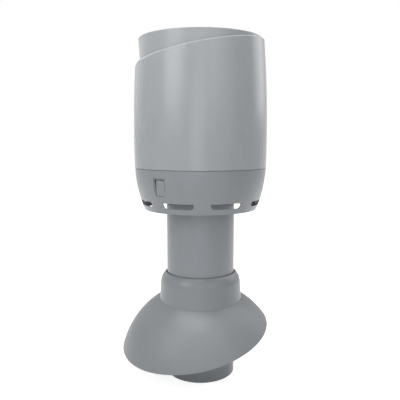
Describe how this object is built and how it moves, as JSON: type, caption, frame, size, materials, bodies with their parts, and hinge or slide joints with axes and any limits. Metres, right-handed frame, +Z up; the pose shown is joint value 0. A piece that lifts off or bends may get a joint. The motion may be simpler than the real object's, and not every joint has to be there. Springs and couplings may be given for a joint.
{
  "type": "roof vent pipe",
  "caption": "Duct pipe through a domed roof skirt with a tilted rim, under a two-shell rain hood with a slotted lower ring and sprung catches.",
  "frame": {"origin": "middle of the duct pipe's lower end", "axes": "+Z up along the pipe, towards the hood; -Y is the front of the picture, +X its right"},
  "size_m": [0.2379, 0.2386, 0.5418],
  "materials": {
    "pipe_plastic": "smooth extruded grey polypropylene",
    "skirt_plastic": "fine satin moulded grey polypropylene",
    "hood_plastic": "satin moulded grey polypropylene",
    "inner_plastic": "plain moulded grey polypropylene",
    "seal_rubber": "black lip seal rubber",
    "screw_steel": "plain stainless pan head screws"
  },
  "bodies": {
    "pipe": {"vent_pipe": "pipe_plastic"},
    "neck_ring": {"neck_seal": "seal_rubber"},
    "skirt": {"skirt_dome": "skirt_plastic", "neck_collar": "skirt_plastic", "neck_guide": "inner_plastic"},
    "hub_ring": {"hub_seal": "seal_rubber"},
    "hood": {"hub_socket": "inner_plastic", "seal_retainer": "inner_plastic", "base_ring": "hood_plastic", "window_band": "hood_plastic", "ring_spider": "hood_plastic", "drip_tray": "inner_plastic", "flange_screws": "screw_steel", "inner_sleeve": "hood_plastic", "outer_shell": "hood_plastic", "cap_frame": "inner_plastic", "cap_bowl": "inner_plastic", "rain_cone": "inner_plastic", "cap_screws": "screw_steel"},
    "snap_1": {"snap_tongue_1": "hood_plastic"},
    "snap_2": {"snap_tongue_2": "hood_plastic"},
    "snap_3": {"snap_tongue_3": "hood_plastic"}
  },
  "joints": [
    {"name": "skirt_height", "type": "slide", "parent": "pipe", "child": "neck_ring", "axis": [0, 0, 1], "range_m": [-0.03, 0.08]},
    {"name": "skirt_turn", "type": "hinge", "parent": "neck_ring", "child": "skirt", "pos_m": [0, 0, 0.155], "axis": [0, 0, 1], "continuous": true},
    {"name": "hood_lift", "type": "slide", "parent": "pipe", "child": "hub_ring", "axis": [0, 0, 1], "range_m": [0, 0.09]},
    {"name": "hood_turn", "type": "hinge", "parent": "hub_ring", "child": "hood", "pos_m": [0, 0, 0.306], "axis": [0, 0, 1], "continuous": true},
    {"name": "snap_1_release", "type": "hinge", "parent": "hood", "child": "snap_1", "pos_m": [-0.05833, -0.07969, 0.2991], "axis": [0.807, -0.5906, 0], "range_deg": [0, 7], "stiffness_Nm_per_rad": 0.6},
    {"name": "snap_2_release", "type": "hinge", "parent": "hood", "child": "snap_2", "pos_m": [0.09818, -0.01067, 0.2991], "axis": [0.108, 0.9942, 0], "range_deg": [0, 7], "stiffness_Nm_per_rad": 0.6},
    {"name": "snap_3_release", "type": "hinge", "parent": "hood", "child": "snap_3", "pos_m": [-0.03985, 0.09036, 0.2991], "axis": [-0.915, -0.4035, 0], "range_deg": [0, 7], "stiffness_Nm_per_rad": 0.6}
  ]
}
